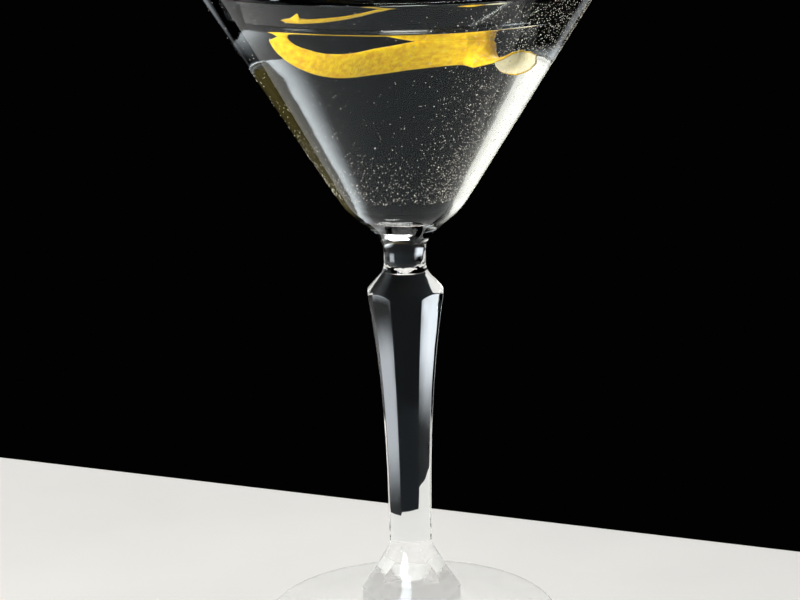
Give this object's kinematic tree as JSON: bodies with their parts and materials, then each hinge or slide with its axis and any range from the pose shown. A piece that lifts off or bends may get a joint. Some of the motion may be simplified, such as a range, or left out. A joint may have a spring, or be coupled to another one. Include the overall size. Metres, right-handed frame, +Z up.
{
  "type": "martini cocktail",
  "caption": "Clear cocktail with a twist of lemon peel in a stemmed V-shaped glass with a faceted stem and a round foot.",
  "frame": {"origin": "middle of the round foot's underside, on the surface that the glass stands on", "axes": "+Z up along the stem to the rim; a flat side of the stem and the front of the lemon twist face -Y; +X to the right when seen from the front"},
  "size_m": [0.103, 0.103, 0.1731],
  "materials": {
    "clear_glass": "clear, smooth pressed glass",
    "clear_drink": "clear chilled spirit with a very faint green-yellow tint",
    "lemon_peel": "waxy yellow zest with fine pores and pale pith"
  },
  "bodies": {
    "root": {"glass": "clear_glass", "drink": "clear_drink", "lemon_twist": "lemon_peel"}
  },
  "joints": []
}
